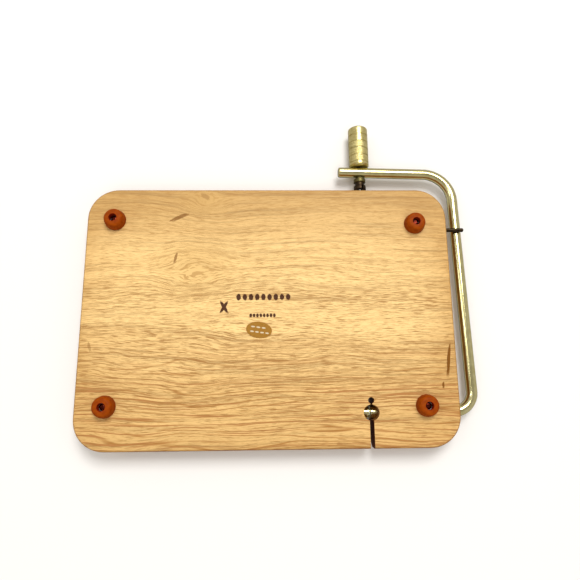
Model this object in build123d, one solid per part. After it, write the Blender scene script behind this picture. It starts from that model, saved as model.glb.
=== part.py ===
from build123d import *
import os

# Cheese wire cutter: a hardwood board on four rubber feet, with a bent rod bow hinged in its
# side that carries a tensioned cutting wire. Millimetres, +Z up, as it stands in use. +X is the
# side that the bow is hinged on and -Y is the front, where the tension knob sticks out.

# ---- driving dimensions ----
BOARD_W, BOARD_D, BOARD_T = 216.0, 152.4, 16.0
CORNER_R = 18.0                 # corners in plan
TOP_EDGE_R = 9.0                # round-over of the serving face
UNDER_EDGE_R = 1.5              # eased edge of the underside
FOOT_H = 6.0                    # rubber foot, from the table to the board
FOOT_R, FOOT_TIP_R = 6.25, 5.4  # at the board and at the table, before rounding
FOOT_RIM_H = 1.0                # straight part next to the board
FOOT_ROUND = 2.3                # dome of the foot's outer edge
FOOT_PLACES = {                 # set by hand: x, y and the turn of the screw's slot
    "front_left": (-91.2, -56.5, 50.0),
    "front_right": (88.2, -54.0, 5.0),
    "back_right": (88.8, 53.2, -55.0),
    "back_left": (-90.8, 52.0, 85.0),
}
RECESS_R = 2.3                  # hole in a foot for its screw's head
WASHER_R, WASHER_T = 4.5, 1.0   # steel washer moulded into a foot
WASHER_Z = 4.0                  # its lower face, which the screw head bears on
SCREW_R, SCREW_L = 1.3, 8.0     # wood screw's shank
SCREW_TIP_R, SCREW_TIP_L = 0.2, 1.8
SCREW_HEAD_R, SCREW_HEAD_H, SCREW_HEAD_ROUND = 2.1, 1.4, 1.3
SCREW_SLOT_W, SCREW_SLOT_DEPTH = 0.7, 0.7

ROD_R = 3.175                   # 1/4 inch rod
HINGE_Y = 56.7                  # hinge axis, along X at mid thickness
LEG_HINGE_X, LEG_FRONT_X = 118.2, 115.0   # the side leg leans in a little to the front
REACH_Y = -90.8                 # centreline of the bow's front leg, where the stud crosses it
FRONT_SLOPE = 0.026             # towards the board per millimetre along the front leg
FRONT_END_X = 44.0
PIN_END_X = 48.0
HINGE_BEND_R, FRONT_BEND_R = 11.0, 18.0
ROD_END_ROUND = 1.2
HINGE_CLEARANCE = 0.06          # radial, hinge pin in the board
BORE_CHAMFER = 0.8

CUT_X = 57.5                    # plane that the wire swings in
GROOVE_W, GROOVE_DEPTH = 1.2, 9.4
KERF_W = 2.45                   # saw cut from the hinge through the back edge
ACCESS_R, ACCESS_DEPTH = 4.45, 12.6       # hole that the wire is hooked on through
STOP_HOLE_R, STOP_HOLE_Y = 1.75, 50.0
WIRE_R = 0.3
FERRULE_R, FERRULE_L, FERRULE_ROUND = 1.05, 1.8, 0.3
FERRULE_FIT = 0.05              # radial clearance of a ferrule in its seat
PIN_SLOT_W = 1.0

STUD_R = 1.6                    # threaded stem of the tension stud
STUD_HEAD_Y = -79.0             # the head's end that faces the board
STUD_HEAD_R, STUD_HEAD_L, STUD_HEAD_ROUND = 3.8, 2.7, 0.5
NECK_R, NECK_L = 2.9, 2.0
COLLAR_R = 3.7
COLLAR_SHOULDER = 1.6           # cone at the collar's end next to the rod
SEAT_GAP = 0.08                 # between the collar's end and the middle of the rod
COLLAR_GAP = 0.05               # neck to collar, with the wire at full tension
STUD_SLOT_W = 1.1
STUD_TURN = -17.0               # how far the stud's slot is turned from upright, degrees
STUD_FIT = 0.05                 # radial clearance of stem in rod, collar and knob
TURNED_CHAMFER = 0.4            # tip of the stem and the collar's other end
KNOB_R, KNOB_L = 6.15, 26.4
KNOB_TIP_ROUND, KNOB_BASE_CHAMFER = 1.1, 0.9
KNOB_SEAT_GAP = 0.35            # knob's foot to the rod's side
KNOB_BORE_L = 22.5
DRAW_ROOM = 2.0                 # bore left beyond the stem's end for tightening
KNOB_GROOVES = 5
KNOB_FIRST_GROOVE = 5.3         # from the tip
KNOB_GROOVE_PITCH, KNOB_GROOVE_W, KNOB_GROOVE_DEPTH = 4.6, 0.45, 0.3

REST_PIN_R, REST_PIN_Y, REST_PIN_GAP = 1.2, -51.2, 0.05
REST_PIN_IN_X, REST_PIN_OUT_X = 84.0, 119.3
REST_PIN_ROUND = 1.0

LABEL_PLACE = (-5.5, 9.8)
LABEL_W, LABEL_D, LABEL_T, LABEL_TURN = 14.9, 9.4, 0.3, 8.0

# ---- levels worked out from them ----
UNDER_Z = FOOT_H
TOP_Z = FOOT_H + BOARD_T
AXIS_Z = UNDER_Z + BOARD_T / 2  # hinge, bow, wire and stud all lie at this height at rest
ROD_FACE_Y = REACH_Y - ROD_R    # side of the front leg that the knob faces
KNOB_BASE_Y = ROD_FACE_Y - KNOB_SEAT_GAP
KNOB_TIP_Y = KNOB_BASE_Y - KNOB_L
STUD_HEAD_END_Y = STUD_HEAD_Y - STUD_HEAD_L
NECK_END_Y = STUD_HEAD_END_Y - NECK_L


def along_x(radius, x_from, x_to, y, z):
    """A round bar along X."""
    start = Plane(origin=(x_from, y, z), x_dir=(0, 1, 0), z_dir=(1, 0, 0))
    return extrude(start * Circle(radius), amount=x_to - x_from)


def along_y(radius, y_from, y_to, x=CUT_X, z=AXIS_Z):
    """A round bar towards -Y, the way the stud and the knob point."""
    start = Plane(origin=(x, y_from, z), x_dir=(1, 0, 0), z_dir=(0, -1, 0))
    return extrude(start * Circle(radius), amount=y_from - y_to)


def upright(radius, x, y, z_from, z_to):
    """A round bar along Z."""
    return extrude(Plane.XY.offset(z_from) * Pos(x, y) * Circle(radius), amount=z_to - z_from)


def block(x, width, y_from, y_to, z_from, z_to):
    """A box centred on x."""
    size = (width, y_to - y_from, z_to - z_from)
    return Pos(x, (y_from + y_to) / 2, (z_from + z_to) / 2) * Box(*size)


def make_board():
    outline = RectangleRounded(BOARD_W, BOARD_D, CORNER_R)
    board = extrude(Plane.XY.offset(UNDER_Z) * outline, amount=BOARD_T)
    board = fillet(board.faces().sort_by(Axis.Z)[-1].edges(), TOP_EDGE_R)
    board = fillet(board.faces().sort_by(Axis.Z)[0].edges(), UNDER_EDGE_R)

    past = 1.0                  # how far a cutter runs past the face that it opens
    back, front = BOARD_D / 2 + past, -BOARD_D / 2 - past
    board -= block(CUT_X, KERF_W, HINGE_Y, back, UNDER_Z - past, TOP_Z + past)
    board -= block(CUT_X, GROOVE_W, front, HINGE_Y, TOP_Z - GROOVE_DEPTH, TOP_Z + past)
    board -= block(CUT_X, GROOVE_W, STOP_HOLE_Y, HINGE_Y, UNDER_Z - past, TOP_Z)
    board -= upright(STOP_HOLE_R, CUT_X, STOP_HOLE_Y, UNDER_Z - past, TOP_Z + past)
    board -= upright(ACCESS_R, CUT_X, HINGE_Y, UNDER_Z - past, UNDER_Z + ACCESS_DEPTH)

    side = BOARD_W / 2
    bore_r = ROD_R + HINGE_CLEARANCE
    board -= along_x(bore_r, PIN_END_X - past, side + past, HINGE_Y, AXIS_Z)
    mouth_r = bore_r + BORE_CHAMFER + past
    mouth = Plane(origin=(side + past, HINGE_Y, AXIS_Z), z_dir=(-1, 0, 0)) * Circle(mouth_r)
    board -= extrude(mouth, amount=BORE_CHAMFER + past, taper=45)
    board -= along_x(REST_PIN_R, REST_PIN_IN_X, side + past, REST_PIN_Y, rest_pin_z())
    for x, y, _ in FOOT_PLACES.values():
        board -= upright(SCREW_R, x, y, UNDER_Z - past, WASHER_Z + SCREW_L)
    return board


def rest_pin_z():
    return AXIS_Z - ROD_R - REST_PIN_R - REST_PIN_GAP


def make_foot(x, y):
    """A domed rubber bumper with its washer's groove and a recess for the screw."""
    profile = Polyline((0, UNDER_Z), (FOOT_R, UNDER_Z), (FOOT_R, UNDER_Z - FOOT_RIM_H),
                       (FOOT_TIP_R, 0), (0, 0), close=True)
    foot = revolve(Plane.XZ * make_face(profile), Axis.Z)
    foot = fillet(foot.faces().sort_by(Axis.Z)[0].edges(), FOOT_ROUND)
    foot -= upright(RECESS_R, 0, 0, 0, WASHER_Z)
    foot -= upright(WASHER_R, 0, 0, WASHER_Z, WASHER_Z + WASHER_T)
    foot -= upright(SCREW_R, 0, 0, WASHER_Z, UNDER_Z)
    return Pos(x, y) * foot


def make_washer(x, y):
    ring = upright(WASHER_R, x, y, WASHER_Z, WASHER_Z + WASHER_T)
    return ring - upright(SCREW_R, x, y, WASHER_Z, WASHER_Z + WASHER_T)


def make_screw(x, y, turn):
    """A round-head wood screw, head down, with a slot and a pointed tip."""
    tip_z = WASHER_Z + SCREW_L - SCREW_TIP_L
    tip_base = Plane.XY.offset(tip_z)
    shank = upright(SCREW_R, 0, 0, WASHER_Z, tip_z)
    shank += loft([tip_base * Circle(SCREW_R), tip_base.offset(SCREW_TIP_L) * Circle(SCREW_TIP_R)])
    head_z = WASHER_Z - SCREW_HEAD_H
    head = upright(SCREW_HEAD_R, 0, 0, head_z, WASHER_Z)
    head = fillet(head.faces().sort_by(Axis.Z)[0].edges(), SCREW_HEAD_ROUND)
    slot = Box(3 * SCREW_HEAD_R, SCREW_SLOT_W, 2 * SCREW_SLOT_DEPTH)
    head -= Pos(0, 0, head_z) * Rot(0, 0, turn) * slot
    return Pos(x, y) * (shank + head)


def bow_path():
    bend_y = REACH_Y + FRONT_SLOPE * (LEG_FRONT_X - CUT_X)
    end_y = REACH_Y + FRONT_SLOPE * (FRONT_END_X - CUT_X)
    corners = [(PIN_END_X, HINGE_Y), (LEG_HINGE_X, HINGE_Y), (LEG_FRONT_X, bend_y),
               (FRONT_END_X, end_y)]
    route = FilletPolyline(*corners, radius=[HINGE_BEND_R, FRONT_BEND_R])
    return Plane.XY.offset(AXIS_Z) * route


def make_bow_rod():
    """One bent rod: hinge pin, side leg and front leg, cross-drilled and slotted for the wire."""
    start = Plane(origin=(PIN_END_X, HINGE_Y, AXIS_Z), z_dir=(1, 0, 0))
    rod = sweep(start * Circle(ROD_R), path=bow_path())
    ends = rod.faces().filter_by(GeomType.PLANE)
    rod = fillet(ends.edges(), ROD_END_ROUND)
    rod -= along_y(STUD_R + STUD_FIT, REACH_Y + 2 * ROD_R, REACH_Y - 2 * ROD_R)
    slot_top = AXIS_Z + PIN_SLOT_W / 2
    rod -= block(CUT_X, PIN_SLOT_W, HINGE_Y - 2 * ROD_R, HINGE_Y + 2 * ROD_R,
                 AXIS_Z - 2 * ROD_R, slot_top)
    return rod - along_y(FERRULE_R + FERRULE_FIT, HINGE_Y + 2 * ROD_R, HINGE_Y)


def make_rest_pin():
    pin = along_x(REST_PIN_R, REST_PIN_IN_X, REST_PIN_OUT_X, REST_PIN_Y, rest_pin_z())
    tip = pin.faces().sort_by(Axis.X)[-1]
    return fillet(tip.edges(), REST_PIN_ROUND)


def make_collar():
    """Spacer between the bow and the stud's neck, coned down towards the rod."""
    start_y, end_y = NECK_END_Y - COLLAR_GAP, REACH_Y + ROD_R + SEAT_GAP
    collar = along_y(COLLAR_R, start_y, end_y)
    collar = chamfer(collar.faces().sort_by(Axis.Y)[-1].edges(), TURNED_CHAMFER)
    collar = chamfer(collar.faces().sort_by(Axis.Y)[0].edges(), COLLAR_SHOULDER)
    return collar - along_y(STUD_R + STUD_FIT, start_y, end_y)


def make_stud():
    """Slotted head, neck and threaded stem. The wire lies in the slot and its ferrule in the neck."""
    head = along_y(STUD_HEAD_R, STUD_HEAD_Y, STUD_HEAD_END_Y)
    head = fillet(head.edges().filter_by(GeomType.CIRCLE), STUD_HEAD_ROUND)
    head -= block(CUT_X, STUD_SLOT_W, STUD_HEAD_END_Y, STUD_HEAD_Y,
                  AXIS_Z - STUD_HEAD_R, AXIS_Z + STUD_HEAD_R)
    neck = along_y(NECK_R, STUD_HEAD_END_Y, NECK_END_Y)
    room = FERRULE_R + FERRULE_FIT
    neck -= block(CUT_X, 2 * room, STUD_HEAD_END_Y - FERRULE_L, STUD_HEAD_END_Y,
                  AXIS_Z - room, AXIS_Z + NECK_R)
    stem = along_y(STUD_R, NECK_END_Y, KNOB_BASE_Y - KNOB_BORE_L + DRAW_ROOM)
    stem = chamfer(stem.faces().sort_by(Axis.Y)[0].edges(), TURNED_CHAMFER)
    stud = Pos(-CUT_X, 0, -AXIS_Z) * (head + neck + stem)
    return Pos(CUT_X, 0, AXIS_Z) * Rot(0, STUD_TURN, 0) * stud


def make_knob():
    """Turned brass thimble nut with ring grooves."""
    knob = along_y(KNOB_R, KNOB_BASE_Y, KNOB_TIP_Y)
    knob = fillet(knob.faces().sort_by(Axis.Y)[0].edges(), KNOB_TIP_ROUND)
    knob = chamfer(knob.faces().sort_by(Axis.Y)[-1].edges(), KNOB_BASE_CHAMFER)
    for i in range(KNOB_GROOVES):
        y = KNOB_TIP_Y + KNOB_FIRST_GROOVE + i * KNOB_GROOVE_PITCH
        ring = along_y(2 * KNOB_R, y + KNOB_GROOVE_W, y)
        knob -= ring - along_y(KNOB_R - KNOB_GROOVE_DEPTH, y + KNOB_GROOVE_W, y)
    return knob - along_y(STUD_R + STUD_FIT, KNOB_BASE_Y, KNOB_BASE_Y - KNOB_BORE_L)


def wire_ends():
    """Y of the wire's two ends, at the backs of its ferrules."""
    at_stud = STUD_HEAD_END_Y - FERRULE_L
    at_hinge = HINGE_Y + FERRULE_L
    return at_stud, at_hinge


def make_wire():
    at_stud, at_hinge = wire_ends()
    return along_y(WIRE_R, at_hinge, at_stud)


def make_ferrule(y_from, y_to):
    """Crimped barrel on the wire's end."""
    barrel = along_y(FERRULE_R, y_from, y_to)
    barrel = fillet(barrel.edges().filter_by(GeomType.CIRCLE), FERRULE_ROUND)
    return barrel - along_y(WIRE_R, y_from, y_to)


def make_label():
    plate = extrude(Plane.XY.offset(UNDER_Z - LABEL_T) * Ellipse(LABEL_W / 2, LABEL_D / 2),
                    amount=LABEL_T)
    return Pos(*LABEL_PLACE) * Rot(0, 0, LABEL_TURN) * plate


def make_parts():
    at_stud, at_hinge = wire_ends()
    parts = {"board": make_board(), "oval_label": make_label(), "arm_rest_pin": make_rest_pin()}
    for place, (x, y, slot_turn) in FOOT_PLACES.items():
        parts[f"foot_{place}"] = make_foot(x, y)
        parts[f"foot_washer_{place}"] = make_washer(x, y)
        parts[f"foot_screw_{place}"] = make_screw(x, y, slot_turn)
    parts["bow_rod"] = make_bow_rod()
    parts["stud_collar"] = make_collar()
    parts["tension_stud"] = make_stud()
    parts["tension_knob"] = make_knob()
    parts["cutting_wire"] = make_wire()
    parts["wire_ferrule_knob_end"] = make_ferrule(at_stud + FERRULE_L, at_stud)
    parts["wire_ferrule_hinge_end"] = make_ferrule(at_hinge, at_hinge - FERRULE_L)
    return parts


parts = make_parts()
middle = Compound(list(parts.values())).bounding_box(optimal=True).center()
to_origin = Pos(-middle.X, -middle.Y, 0)
os.makedirs("parts", exist_ok=True)
for name, solid in parts.items():
    export_step(to_origin * solid, f"parts/{name}.step")

places = {
    "hinge axis at the wire": (CUT_X, HINGE_Y, AXIS_Z),
    "knob axis at its foot": (CUT_X, KNOB_BASE_Y, AXIS_Z),
    "board's centre, under it": (0, 0, UNDER_Z),
}
for name, spot in places.items():
    print(name, (to_origin * Pos(*spot)).position)
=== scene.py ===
import math

import bpy
from mathutils import Euler, Matrix, Vector


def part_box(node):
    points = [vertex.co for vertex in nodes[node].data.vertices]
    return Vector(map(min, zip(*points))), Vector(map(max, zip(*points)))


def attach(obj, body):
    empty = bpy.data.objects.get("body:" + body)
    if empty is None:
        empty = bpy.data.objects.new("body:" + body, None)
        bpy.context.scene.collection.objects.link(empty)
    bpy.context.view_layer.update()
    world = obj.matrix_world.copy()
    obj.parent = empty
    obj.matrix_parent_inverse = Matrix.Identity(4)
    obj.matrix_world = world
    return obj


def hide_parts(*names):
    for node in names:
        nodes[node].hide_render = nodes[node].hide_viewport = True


MM = 0.001
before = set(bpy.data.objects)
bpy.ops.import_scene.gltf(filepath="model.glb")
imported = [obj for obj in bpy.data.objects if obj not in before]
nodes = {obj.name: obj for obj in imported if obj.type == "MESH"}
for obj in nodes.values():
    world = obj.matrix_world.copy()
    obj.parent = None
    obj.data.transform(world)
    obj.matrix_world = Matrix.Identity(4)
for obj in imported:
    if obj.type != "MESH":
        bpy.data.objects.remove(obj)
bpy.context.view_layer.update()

board_low, board_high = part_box("board")
BOARD_MID = (board_low + board_high) / 2
UNDER_Z, TOP_Z = board_low.z, board_high.z
PLACES = [name.removeprefix("foot_") for name in nodes
          if name.startswith("foot_") and name.count("_") == 2]

# Places on the board: millimetres from its centre, -Y towards the knob.
EDGE_Y, END_X, BOARD_HALF_T = 76.0, 112.0, 8.0
CUT_X = 57.5
# place along the cut, radius, how much painted shade darkens its wall
HINGE_HOLES = [(56.7, 4.45, 0.12), (50.0, 1.75, 1.0)]
# place, half size, how far the grain is pushed aside
KNOTS = [(-42.0, -27.0, 24.0, 16.0, 8.6), (-38.0, -70.0, 16.0, 9.0, 6.6)]
# place, half size, turn in degrees, how dark
STREAKS = [(103.1, 28.0, 1.05, 9.6, -8.0, 0.95), (99.0, 42.0, 0.7, 1.9, -5.0, 0.9),
           (-53.2, -58.5, 6.5, 1.2, 24.0, 0.75), (-54.7, -33.2, 0.9, 3.4, -15.0, 0.7),
           (-101.4, 18.8, 0.9, 3.0, 15.0, 0.4), (-38.0, -71.6, 3.4, 1.5, -30.0, 0.35)]
# middle of the row, number of ovals, pitch, half size of one, turn in degrees
BURNT_ROWS = [(-3.0, -9.4, 9, 3.6, 1.5, 2.2, 0.0), (-3.5, 1.4, 8, 1.95, 0.9, 1.3, 0.0),
              (-25.8, -3.6, 1, 12.0, 1.1, 4.6, 32.0), (-25.8, -3.6, 1, 12.0, 1.1, 4.6, -32.0)]
LABEL_ROWS = [(-5.9, 8.3, 3, 3.1, 1.3, 0.5, -8.0), (-5.2, 11.2, 4, 2.9, 1.2, 0.5, -8.0)]

# Wood figure: cycles per millimetre along and across the grain, and the noise's detail.
BANDS = (0.004, 0.07, 2.0)
RING_DRIFT = (0.007, 0.05, 2.0)
LINES = (0.012, 0.55, 3.0)
LONG_LINES = (0.018, 1.2, 1.0)
BREAKS = (0.025, 0.30, 2.0)
PORES = (0.11, 2.5, 1.5)
FINE_PORES = (0.24, 4.4, 1.0)
RINGS_PER_MM = 0.33

# Wood colours; the shades are multiplied in.
PALE, TAN = (0.86, 0.58, 0.24), (0.65, 0.395, 0.14)
GROWTH_BROWN, LINE_BROWN = (0.37, 0.165, 0.038), (0.39, 0.17, 0.05)
PORE_BROWN, FINE_PORE_BROWN = (0.33, 0.155, 0.04), (0.40, 0.205, 0.055)
KNOT_TAN, STREAK_BROWN, BURNT_BROWN = (0.56, 0.34, 0.11), (0.17, 0.055, 0.0), (0.045, 0.008, 0.0)
# The second colour on the next line is painted shade for the rounded edges and side faces.
FRONT_SHADE, SIDE_PAINTED_SHADE = (0.84, 0.82, 0.80), (0.60, 0.46, 0.32)
# Painted shade for the walls of the cuts and holes.
CUT_PAINTED_SHADE = (0.42, 0.20, 0.09)
NO_SHADE = (1.0, 1.0, 1.0)


# ---- building materials ----
class Graph:
    """A material under construction: makes nodes, links them, and ends in one Principled shader."""

    def __init__(self, name, **fixed):
        self.material = bpy.data.materials.new(name)
        self.material.use_nodes = True
        self.tree = self.material.node_tree
        self.shader = self.tree.nodes["Principled BSDF"]
        for label, value in fixed.items():
            self.shader.inputs[label.replace("_", " ")].default_value = value

    def add(self, kind, inputs=(), **settings):
        """A node; inputs maps a socket's name or number to a value or to another node's output."""
        node = self.tree.nodes.new("ShaderNode" + kind)
        for key, value in settings.items():
            setattr(node, key, value)
        for key, value in dict(inputs).items():
            if isinstance(value, bpy.types.NodeSocket):
                self.tree.links.new(value, node.inputs[key])
            else:
                node.inputs[key].default_value = value
        return node

    def math(self, operation, a, b=0.0, c=0.0):
        return self.add("Math", {0: a, 1: b, 2: c}, operation=operation).outputs[0]

    def length(self, a, b):
        squares = self.math("MULTIPLY", a, a), self.math("MULTIPLY", b, b)
        return self.math("SQRT", self.math("ADD", *squares))

    def place(self, origin, scale=(1, 1, 1), turn=0.0):
        """Millimetres from a point of the object, turned by degrees about Z, then stretched."""
        spot = self.add("TexCoord").outputs["Object"]
        moved = self.add("VectorMath", {0: spot, 1: origin}, operation="SUBTRACT").outputs[0]
        mapping = {"Vector": moved, "Scale": [s / MM for s in scale],
                   "Rotation": (0, 0, math.radians(turn))}
        return self.add("Mapping", mapping).outputs[0]

    def noise(self, vector, scale=1.0, detail=2.0, roughness=0.5):
        inputs = {"Vector": vector, "Scale": scale, "Detail": detail, "Roughness": roughness}
        return self.add("TexNoise", inputs).outputs["Fac"]

    def along_grain(self, x, grain, z, along, across, detail):
        """Noise drawn out along the board: cycles per millimetre along and across the grain."""
        parts = {0: self.math("MULTIPLY", x, along), 1: self.math("MULTIPLY", grain, across),
                 2: self.math("MULTIPLY", z, across)}
        return self.noise(self.add("CombineXYZ", parts).outputs[0], detail=detail, roughness=0.6)

    def ramp(self, factor, *stops):
        """A colour ramp; each stop is (position, grey or colour)."""
        node = self.add("ValToRGB", {"Fac": factor})
        set_stops(node.color_ramp, stops)
        return node.outputs["Color"]

    def mix(self, factor, a, b, blend="MIX"):
        inputs = {}
        for key, value in ((0, factor), (6, a), (7, b)):
            is_colour = isinstance(value, tuple) and len(value) == 3
            inputs[key] = (*value, 1) if is_colour else value
        node = self.add("Mix", inputs, data_type="RGBA", blend_type=blend, clamp_factor=True)
        return node.outputs[2]

    def bump(self, height, depth):
        """Surface relief: depth in metres between the lowest and the highest of height."""
        inputs = {"Height": height, "Distance": depth, "Strength": 1.0}
        return self.add("Bump", inputs).outputs["Normal"]

    def wire(self, **sockets):
        for label, output in sockets.items():
            self.tree.links.new(output, self.shader.inputs[label.replace("_", " ")])
        return self.material


def set_stops(color_ramp, stops):
    elements = color_ramp.elements
    while len(elements) < len(stops):
        elements.new(0.5)
    for element, (position, colour) in zip(elements, stops):
        element.position = position
        grey = isinstance(colour, (int, float))
        element.color = (colour,) * 3 + (1,) if grey else (*colour, 1)


def oiled_wood():
    """Pale plain-sawn hardwood: growth bands, long lines and short dark pores along the board."""
    g = Graph("oiled_wood", Specular_IOR_Level=0.15)
    x, y, z = g.add("SeparateXYZ", {0: g.place(BOARD_MID)}).outputs
    backward = g.math("MULTIPLY_ADD", y, 0.5 / EDGE_Y, 0.5)     # 0 at the front edge, 1 at the back

    sway = g.noise(g.place(BOARD_MID, (0.007, 0.02, 0.02)), detail=2.0)
    ripple = g.noise(g.place(BOARD_MID, (0.03, 0.10, 0.10)), detail=1.5)
    grain = g.math("MULTIPLY_ADD", sway, 22.0, g.math("MULTIPLY_ADD", ripple, 2.0, y))
    knots, push = knot_pull(g, y)
    grain = g.math("SUBTRACT", grain, push)

    def figure(texture):
        return g.along_grain(x, grain, z, *texture)

    bands, lines, pores = figure(BANDS), figure(LINES), figure(PORES)
    off_band, off_line = g.math("SUBTRACT", bands, 0.5), g.math("SUBTRACT", lines, 0.5)

    # the ground, pale in the middle of the board and tan towards its edges and ends
    edge = g.math("ABSOLUTE", g.math("MULTIPLY_ADD", y, 1 / EDGE_Y, 0.08))
    end = g.math("POWER", g.math("ABSOLUTE", g.math("MULTIPLY_ADD", x, 1 / END_X, 0.03)), 8.0)
    tan_share = g.math("MULTIPLY_ADD", off_band, 0.9, g.math("ADD", edge, end))
    colour = g.ramp(tan_share, (0.15, PALE), (1.0, TAN))
    colour = g.mix(1.0, colour, g.ramp(lines, (0.36, 1.0), (0.52, 0.94), (0.72, 0.70)), "MULTIPLY")

    # growth lines and long dark lines, stronger towards the back
    ring = g.math("MULTIPLY_ADD", figure(RING_DRIFT), 9.0, g.math("MULTIPLY", grain, RINGS_PER_MM))
    growth = g.ramp(g.math("PINGPONG", ring, 0.5), (0.03, 1.0), (0.14, 0.0))
    broken = g.ramp(figure(BREAKS), (0.38, 0.0), (0.54, 1.0))
    broken = g.math("MULTIPLY", broken, g.ramp(backward, (0.50, 0.15), (0.85, 1.0)))
    colour = g.mix(g.math("MULTIPLY", growth, broken), colour, GROWTH_BROWN)
    lined = g.ramp(figure(LONG_LINES), (0.56, 0.0), (0.62, 1.0))
    lined = g.math("MULTIPLY", lined, g.ramp(backward, (0.58, 0.0), (0.80, 0.95)))
    colour = g.mix(lined, colour, LINE_BROWN)
    front_band = g.ramp(backward, (0.02, FRONT_SHADE), (0.24, NO_SHADE))
    colour = g.mix(1.0, colour, front_band, "MULTIPLY")

    # pores, which crowd into the dark lines and bands and round the knots
    crowding = g.math("MULTIPLY_ADD", off_line, 0.3, pores)
    crowding = g.math("MULTIPLY_ADD", off_band, 0.25, crowding)
    crowding = g.math("MULTIPLY_ADD", knots, 0.025, crowding)
    pore_mask = g.ramp(crowding, (0.55, 0.0), (0.60, 1.0))
    pore_mask = g.math("MULTIPLY", pore_mask, g.ramp(backward, (0.12, 0.50), (0.50, 1.0)))
    fine_mask = g.ramp(figure(FINE_PORES), (0.56, 0.0), (0.63, 1.0))
    colour = g.mix(g.math("MULTIPLY", pore_mask, 0.82), colour, PORE_BROWN)
    colour = g.mix(g.math("MULTIPLY", fine_mask, 0.62), colour, FINE_PORE_BROWN)

    # knots, streaks and burnt marks
    burnt = highest(g, [dot_row(g, *row) for row in BURNT_ROWS])
    colour = g.mix(g.math("MULTIPLY", knots, 0.38), colour, KNOT_TAN)
    colour = g.mix(streaks(g), colour, STREAK_BROWN)
    colour = g.mix(g.math("MULTIPLY", burnt, 0.97), colour, BURNT_BROWN)

    # painted shade: darker on the rounded edges and side faces, and down in the cuts
    normal = g.add("NewGeometry").outputs["Normal"]
    sideways, _, level = g.add("SeparateXYZ", {0: normal}).outputs
    rounded = g.ramp(g.math("ABSOLUTE", level), (0.55, 1.0), (0.97, 0.0))
    colour = g.mix(rounded, colour, SIDE_PAINTED_SHADE, "MULTIPLY")
    # painted shade on the walls of the cuts and holes
    cut_shade_mask = cut_painted_shade(g, x, y, z, g.math("ABSOLUTE", sideways))
    colour = g.mix(cut_shade_mask, colour, CUT_PAINTED_SHADE, "MULTIPLY")

    roughness = g.math("MULTIPLY_ADD", pores, 0.22, 0.42)
    sunk = g.math("ADD", pore_mask, burnt)
    relief = g.math("SUBTRACT", g.math("MULTIPLY", lines, 0.35), sunk)
    return g.wire(Base_Color=colour, Roughness=roughness, Normal=g.bump(relief, 0.00006))


def highest(g, masks):
    total = masks[0]
    for mask in masks[1:]:
        total = g.math("MAXIMUM", total, mask)
    return total


def cut_painted_shade(g, x, y, z, sideways):
    """Painted shade on the walls of the wire's cuts and of the holes in its plane, below the board's
    faces.
    """
    cut_reach, wall_tilt, hole_margin, skin = 1.35, 0.7, 0.15, 0.35
    off = g.math("ABSOLUTE", g.math("SUBTRACT", x, CUT_X))
    near_cut = g.math("LESS_THAN", off, cut_reach)
    cut = g.math("MULTIPLY", near_cut, g.math("GREATER_THAN", sideways, wall_tilt))
    for hole_y, radius, shade_amount in HINGE_HOLES:
        reach = g.length(off, g.math("SUBTRACT", y, hole_y))
        in_hole = g.math("LESS_THAN", reach, radius + hole_margin)
        cut = g.math("MAXIMUM", cut, g.math("MULTIPLY", in_hole, shade_amount))
    inside = g.math("LESS_THAN", g.math("ABSOLUTE", z), BOARD_HALF_T - skin)
    return g.math("MULTIPLY", cut, inside)


def underside(x, y):
    """The point of the underside at x, y millimetres from the board's centre."""
    return Vector((BOARD_MID.x + x * MM, BOARD_MID.y + y * MM, UNDER_Z))


def soft_spot(g, x, y, half_w, half_d, turn=0.0, ragged=0.5):
    """An ellipse on the underside, 1 in the middle and 0 outside, with an uneven edge."""
    fade_out, rounding, depth_scale = 1.25, 0.2, 0.08
    flat = g.place(underside(x, y), turn=turn)
    shape = {"Vector": flat, "Scale": (1 / half_w, 1 / half_d, depth_scale)}
    shaped = g.add("Mapping", shape).outputs[0]
    size = g.add("VectorMath", {0: shaped}, operation="LENGTH").outputs["Value"]
    rough = g.noise(shaped, scale=1.7, detail=3.0, roughness=0.65)
    size = g.math("MULTIPLY_ADD", g.math("SUBTRACT", rough, 0.5), ragged * 2, size)
    inward = g.math("MAXIMUM", g.math("SUBTRACT", fade_out, size), 0.0)
    return g.math("SMOOTH_MIN", 1.0, inward, rounding)


def knot_pull(g, y):
    """How near the two small knots at the front left are, and how far they push the grain aside."""
    near, push = 0.0, 0.0
    for knot_x, knot_y, half_w, half_d, reach in KNOTS:
        spot = soft_spot(g, knot_x, knot_y, half_w, half_d, ragged=0.25)
        side = g.math("DIVIDE", g.math("SUBTRACT", y, knot_y), half_d * 0.6)
        side = g.math("MAXIMUM", g.math("MINIMUM", side, 1.0), -1.0)
        near = g.math("ADD", near, spot)
        push = g.math("MULTIPLY_ADD", g.math("MULTIPLY", side, spot), reach, push)
    return near, push


def streaks(g):
    """Mineral streaks and specks in the underside."""
    masks = []
    for *shape, depth in STREAKS:
        spot = soft_spot(g, *shape, ragged=0.75)
        masks.append(g.math("MULTIPLY", g.ramp(spot, (0.22, 0.0), (0.45, 1.0)), depth))
    return highest(g, masks)


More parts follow.
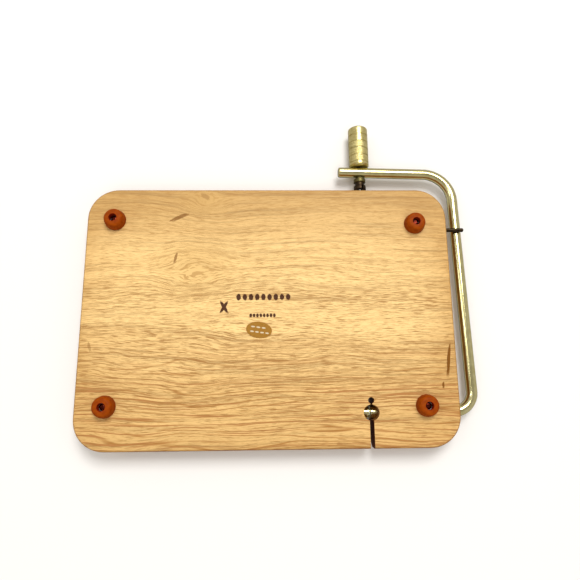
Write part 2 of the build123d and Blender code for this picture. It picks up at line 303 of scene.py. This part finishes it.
def dot_row(g, x, y, count, pitch, half_w, half_h, turn):
    """1 on a row of small ovals on the underside, centred on x, y from the board's centre."""
    at = underside(x, y)
    along, across, down = g.add("SeparateXYZ", {0: g.place(at, turn=turn)}).outputs
    start = pitch / 2 if count % 2 == 0 else 0.0
    nearest = g.math("WRAP", g.math("ADD", along, start), pitch / 2, -pitch / 2)
    size = g.length(g.math("DIVIDE", nearest, half_w), g.math("DIVIDE", across, half_h))
    uneven = g.noise(g.place(at, (0.9, 0.9, 0.9)), detail=3.0)
    size = g.math("MULTIPLY_ADD", g.math("SUBTRACT", uneven, 0.5), 0.5, size)
    oval = g.ramp(size, (0.75, 1.0), (1.0, 0.0))
    in_row = g.math("LESS_THAN", g.math("ABSOLUTE", along), count * pitch / 2)
    on_face = g.math("LESS_THAN", down, 0.5)
    return g.math("MULTIPLY", oval, g.math("MULTIPLY", in_row, on_face))


def amber_rubber(place):
    """Moulded rubber, with painted shade that makes it darker and redder down in the foot's recess.
    """
    g = Graph("amber_rubber_" + place, Specular_IOR_Level=0.06)
    amber, deep_amber, recess_painted_shade = (0.29, 0.050, 0.0), (0.21, 0.030, 0.0), (0.26, 0.012, 0.003)
    ramp_length, recess_from, recess_to = 10.0, 2.25, 2.5       # millimetres from the foot's axis
    low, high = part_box("foot_" + place)
    middle = (low + high) / 2
    x, y, _ = g.add("SeparateXYZ", {0: g.place(middle)}).outputs
    cloud = g.noise(g.place(middle, (0.35, 0.35, 0.35)), detail=4.0)
    speck = g.noise(g.place(middle, (3.0, 3.0, 3.0)), detail=3.0)
    colour = g.ramp(cloud, (0.35, amber), (0.65, deep_amber))
    reach = g.math("DIVIDE", g.length(x, y), ramp_length)
    recess_shade_mask = g.ramp(reach, (recess_from / ramp_length, 1.0), (recess_to / ramp_length, 0.0))
    # painted shade down in the foot's recess
    colour = g.mix(recess_shade_mask, colour, recess_painted_shade)
    roughness = g.ramp(speck, (0.3, 0.42), (0.7, 0.60))
    return g.wire(Base_Color=colour, Roughness=roughness, Normal=g.bump(speck, 0.00003))


def metal(name, light, dark, rough, scratches, depth=0.000004, patches=0.3):
    """A metal with cloudy wear and fine scratches; scratches and patches per millimetre."""
    g = Graph(name, Metallic=1.0)
    cloud = g.noise(g.place((0, 0, 0), (patches,) * 3), detail=4.0, roughness=0.6)
    scratch = g.noise(g.place((0, 0, 0), scratches), detail=2.0)
    colour = g.ramp(cloud, (0.38, light), (0.68, dark))
    worn = g.math("MULTIPLY_ADD", scratch, rough[1] - rough[0], rough[0])
    return g.wire(Base_Color=colour, Roughness=worn, Normal=g.bump(scratch, depth))


def label_face():
    """Printed brown oval with two worn rows of pale dashes."""
    g = Graph("label_face", Specular_IOR_Level=0.12)
    brown, deep_brown, print_cream = (0.34, 0.165, 0.020), (0.26, 0.115, 0.012), (0.70, 0.60, 0.42)
    wear = g.noise(g.place((0, 0, 0), (1.6, 1.6, 1.6)), detail=4.0, roughness=0.7)
    colour = g.ramp(wear, (0.35, brown), (0.7, deep_brown))
    dashes = highest(g, [dot_row(g, *row) for row in LABEL_ROWS])
    colour = g.mix(g.math("MULTIPLY", dashes, 0.75), colour, print_cream)
    return g.wire(Base_Color=colour, Roughness=g.ramp(wear, (0.3, 0.45), (0.7, 0.62)))


def paint(material, *names):
    for name in names:
        mesh = nodes[name].data
        mesh.materials.clear()
        mesh.materials.append(material)


def paint_everything():
    paint(oiled_wood(), "board")
    paint(label_face(), "oval_label")
    bow_brass = metal("bow_brass", (0.64, 0.575, 0.30), (0.55, 0.48, 0.22), rough=(0.17, 0.205),
                      scratches=(0.9, 0.12, 0.9), depth=0.0000003)
    paint(bow_brass, "bow_rod")
    knob_brass = metal("knob_brass", (0.70, 0.60, 0.27), (0.50, 0.40, 0.14), rough=(0.22, 0.40),
                       scratches=(1.5, 1.5, 1.5), depth=0.000006, patches=0.8)
    paint(knob_brass, "tension_knob")
    turned_knob(knob_brass)
    blackened = metal("blackened_brass", (0.055, 0.036, 0.018), (0.022, 0.013, 0.008),
                      rough=(0.30, 0.55), scratches=(2.0, 2.0, 2.0))
    paint(blackened, "tension_stud", "arm_rest_pin")
    olive_bronze = metal("olive_bronze", (0.16, 0.135, 0.05), (0.07, 0.055, 0.02),
                         rough=(0.38, 0.55), scratches=(2.0, 2.0, 2.0))
    paint(olive_bronze, "stud_collar")
    wire_steel = metal("wire_steel", (0.72, 0.72, 0.71), (0.5, 0.5, 0.49), rough=(0.2, 0.36),
                       scratches=(3.0, 0.1, 3.0))
    paint(wire_steel, "cutting_wire", "wire_ferrule_knob_end", "wire_ferrule_hinge_end")
    # The screws' near-black red is painted shade from the feet's recesses they sit in.
    screw_steel = metal("screw_steel", (0.14, 0.02, 0.012), (0.07, 0.01, 0.006),
                        rough=(0.12, 0.22), scratches=(3.0, 3.0, 3.0))
    zinc = metal("washer_zinc", (0.62, 0.61, 0.58), (0.45, 0.44, 0.42), rough=(0.3, 0.5),
                 scratches=(2.0, 2.0, 2.0))
    for place in PLACES:
        paint(amber_rubber(place), "foot_" + place)
        paint(screw_steel, "foot_screw_" + place)
        paint(zinc, "foot_washer_" + place)


# ---- finer pieces ----
def lathe(name, axis_x, axis_z, outline, relief, segments):
    """Solid of revolution round a line along Y; outline runs from axis to axis as (y, radius)."""
    points, faces, rows = [], [], []
    for y, radius in outline:
        first = len(points)
        if radius == 0.0:
            points.append((axis_x, y, axis_z))
            rows.append([first] * segments)
            continue
        for k in range(segments):
            angle = 2 * math.pi * k / segments
            r = radius + relief(angle, y, radius)
            points.append((axis_x + r * math.cos(angle), y, axis_z + r * math.sin(angle)))
        rows.append(list(range(first, first + segments)))
    for upper, lower in zip(rows, rows[1:]):
        for k in range(segments):
            corners = [upper[k], upper[k - 1], lower[k - 1], lower[k]]
            faces.append(list(dict.fromkeys(corners)))
    mesh = bpy.data.meshes.new(name)
    mesh.from_pydata(points, [], faces)
    mesh.shade_smooth()
    mesh.set_sharp_from_angle(angle=math.radians(38))
    piece = bpy.data.objects.new(name, mesh)
    bpy.context.scene.collection.objects.link(piece)
    return piece


def turned_knob(material):
    """The knob with its rounded tip, ring grooves and a diamond knurl over the grip."""
    low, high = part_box("tension_knob")
    axis_x, axis_z = (low.x + high.x) / 2, (low.z + high.z) / 2
    full_r = (high.x - low.x) / 2
    tip, base = low.y, high.y
    tip_round, chamfer, bore_r, bore_l = 1.1 * MM, 0.9 * MM, 1.65 * MM, 22.5 * MM
    first_groove, groove_pitch = 5.3, 4.6
    groove_w, groove_depth, wall = 0.52 * MM, 0.30 * MM, 0.02 * MM
    grooves = [tip + (first_groove + groove_pitch * i) * MM for i in range(5)]
    grip_from, grip_to = grooves[1] + groove_w, grooves[4]
    knurls, knurl_depth, land, cut = 34, 0.15 * MM, 0.55, 0.45
    row_pitch, round_steps = 0.16 * MM, 8

    def relief(angle, y, radius):
        in_groove = any(g <= y <= g + groove_w for g in grooves)
        if radius < full_r or in_groove or not grip_from < y < grip_to:
            return 0.0
        turns = knurls * angle / (2 * math.pi)
        travel = (y - grip_from) * knurls / (2 * math.pi * full_r)
        cuts = [abs((turns + way * travel) % 1.0 - 0.5) * 2 for way in (1, -1)]
        return -knurl_depth * max(0.0, (max(cuts) - land) / cut)

    outline = [(tip, 0.0)]
    for i in range(round_steps + 1):
        a = math.pi / 2 * i / round_steps
        y = tip + tip_round * (1 - math.cos(a))
        outline.append((y, full_r - tip_round * (1 - math.sin(a))))
    inner, start = full_r - groove_depth, tip + tip_round
    for end in grooves + [base - chamfer]:
        rows = max(2, round((end - start) / row_pitch))
        outline += [(start + (end - start) * k / rows, full_r) for k in range(1, rows + 1)]
        if end in grooves:
            floor_from, floor_to = end + wall, end + groove_w - wall
            outline += [(floor_from, inner), (floor_to, inner), (end + groove_w, full_r)]
        start = end + groove_w
    bore_end = base - bore_l
    outline += [(base, full_r - chamfer), (base, bore_r), (bore_end, bore_r), (bore_end, 0.0)]
    knob = lathe("turned_knob", axis_x, axis_z, outline, relief, knurls * 8)
    knob.data.materials.append(material)
    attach(knob, "knob")
    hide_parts("tension_knob")


# ---- surroundings ----
def one_sided(name, colour):
    """Matt white that only its front shows, so that a surface never hides the object behind it."""
    g = Graph(name, Roughness=0.9)
    g.shader.inputs["Base Color"].default_value = (*colour, 1)
    back = g.add("NewGeometry").outputs["Backfacing"]
    clear = g.add("BsdfTransparent").outputs[0]
    either = g.add("MixShader", {0: back, 1: g.shader.outputs[0], 2: clear})
    g.tree.links.new(either.outputs[0], g.tree.nodes["Material Output"].inputs[0])
    return g.material


def table(name, height, faces_up):
    """A table top seen only from its own side: one under the feet, one against the serving face."""
    warm_white = (0.80, 0.78, 0.75)
    bpy.ops.mesh.primitive_circle_add(vertices=96, radius=4.0, fill_type="NGON",
                                      location=(0, 0, height))
    top = bpy.context.object
    top.name = name
    if not faces_up:
        top.rotation_euler.x = math.pi
    top.data.materials.append(one_sided(name, warm_white))
    for ray in ("diffuse", "glossy", "transmission", "shadow"):
        setattr(top, "visible_" + ray, False)


def softbox(name, azimuth, elevation, size, watts, mirrored):
    distance = 1.6
    a, e = math.radians(azimuth), math.radians(elevation)
    towards = Vector((math.sin(a) * math.cos(e), -math.cos(a) * math.cos(e), math.sin(e)))
    lamp = bpy.data.lights.new(name, "AREA")
    lamp.shape, lamp.size, lamp.size_y, lamp.energy = "RECTANGLE", size[0], size[1], watts
    holder = bpy.data.objects.new(name, lamp)
    bpy.context.scene.collection.objects.link(holder)
    holder.location = BOARD_MID + towards * distance
    holder.rotation_euler = (-towards).to_track_quat("-Z", "Y").to_euler()
    holder.visible_glossy = mirrored


def studio_world():
    """Warm white surroundings, brightest to the sides, dimmer below and dim straight overhead."""
    strength, warmth = 0.68, (1.0, 0.97, 0.925)
    # share of the way from straight down to straight up, grey
    shades = [(0.02, 0.55), (0.10, 0.80), (0.25, 1.0), (0.50, 0.85), (0.72, 1.0), (0.86, 0.9),
              (0.95, 0.2)]
    world = bpy.data.worlds.new("studio")
    world.use_nodes = True
    tree = world.node_tree
    direction = tree.nodes.new("ShaderNodeTexCoord").outputs["Generated"]
    parts = tree.nodes.new("ShaderNodeSeparateXYZ")
    upward = tree.nodes.new("ShaderNodeMath")
    upward.operation = "MULTIPLY_ADD"
    upward.inputs[1].default_value = upward.inputs[2].default_value = 0.5
    ramp = tree.nodes.new("ShaderNodeValToRGB")
    set_stops(ramp.color_ramp, [(at, tuple(grey * w for w in warmth)) for at, grey in shades])
    background = tree.nodes["Background"]
    background.inputs["Strength"].default_value = strength
    for output, socket in ((direction, parts.inputs[0]), (parts.outputs["Z"], upward.inputs[0]),
                           (upward.outputs[0], ramp.inputs["Fac"]),
                           (ramp.outputs["Color"], background.inputs["Color"])):
        tree.links.new(output, socket)
    bpy.context.scene.world = world


def light_scene():
    """The same lights on both sides; the metal mirrors only the key and rim under the board."""
    studio_world()
    for side, elevation in (("under", -60), ("over", 60)):
        under = side == "under"
        softbox(side + "_key", 18, 1.05 * elevation, (0.65, 0.65), watts=18, mirrored=under)
        softbox(side + "_rim", -75, elevation, (0.12, 0.9), watts=2.5, mirrored=under)
        softbox(side + "_fill", 165, elevation, (0.8, 0.8), watts=5, mirrored=False)


def place_camera():
    """Looks at the underside, the way the cutter lies when it is turned over on its serving face."""
    focal_share = 495.0 / 580.0         # focal length over the picture's width
    tilt, roll, turn = (math.radians(d) for d in (11.75, -1.44, -0.60))
    offset = Vector((4.8, 45.4, -283.5)) * MM
    camera = bpy.data.cameras.new("camera")
    camera.sensor_width = 36.0
    camera.lens = camera.sensor_width * focal_share
    camera.clip_start, camera.clip_end = 0.01, 20.0
    holder = bpy.data.objects.new("camera", camera)
    bpy.context.scene.collection.objects.link(holder)
    upside_down = Matrix.Rotation(math.pi, 3, "X")
    facing = upside_down @ Euler((tilt, roll, turn), "XYZ").to_matrix()
    spot = underside(0.0, 0.0) + offset
    holder.matrix_world = Matrix.Translation(spot) @ facing.to_4x4()
    bpy.context.scene.camera = holder


bpy.context.scene.view_settings.view_transform = "Standard"
paint_everything()
table("table_under_feet", -0.00002, faces_up=True)
table("table_on_serving_face", TOP_Z + 0.00005, faces_up=False)
light_scene()
place_camera()
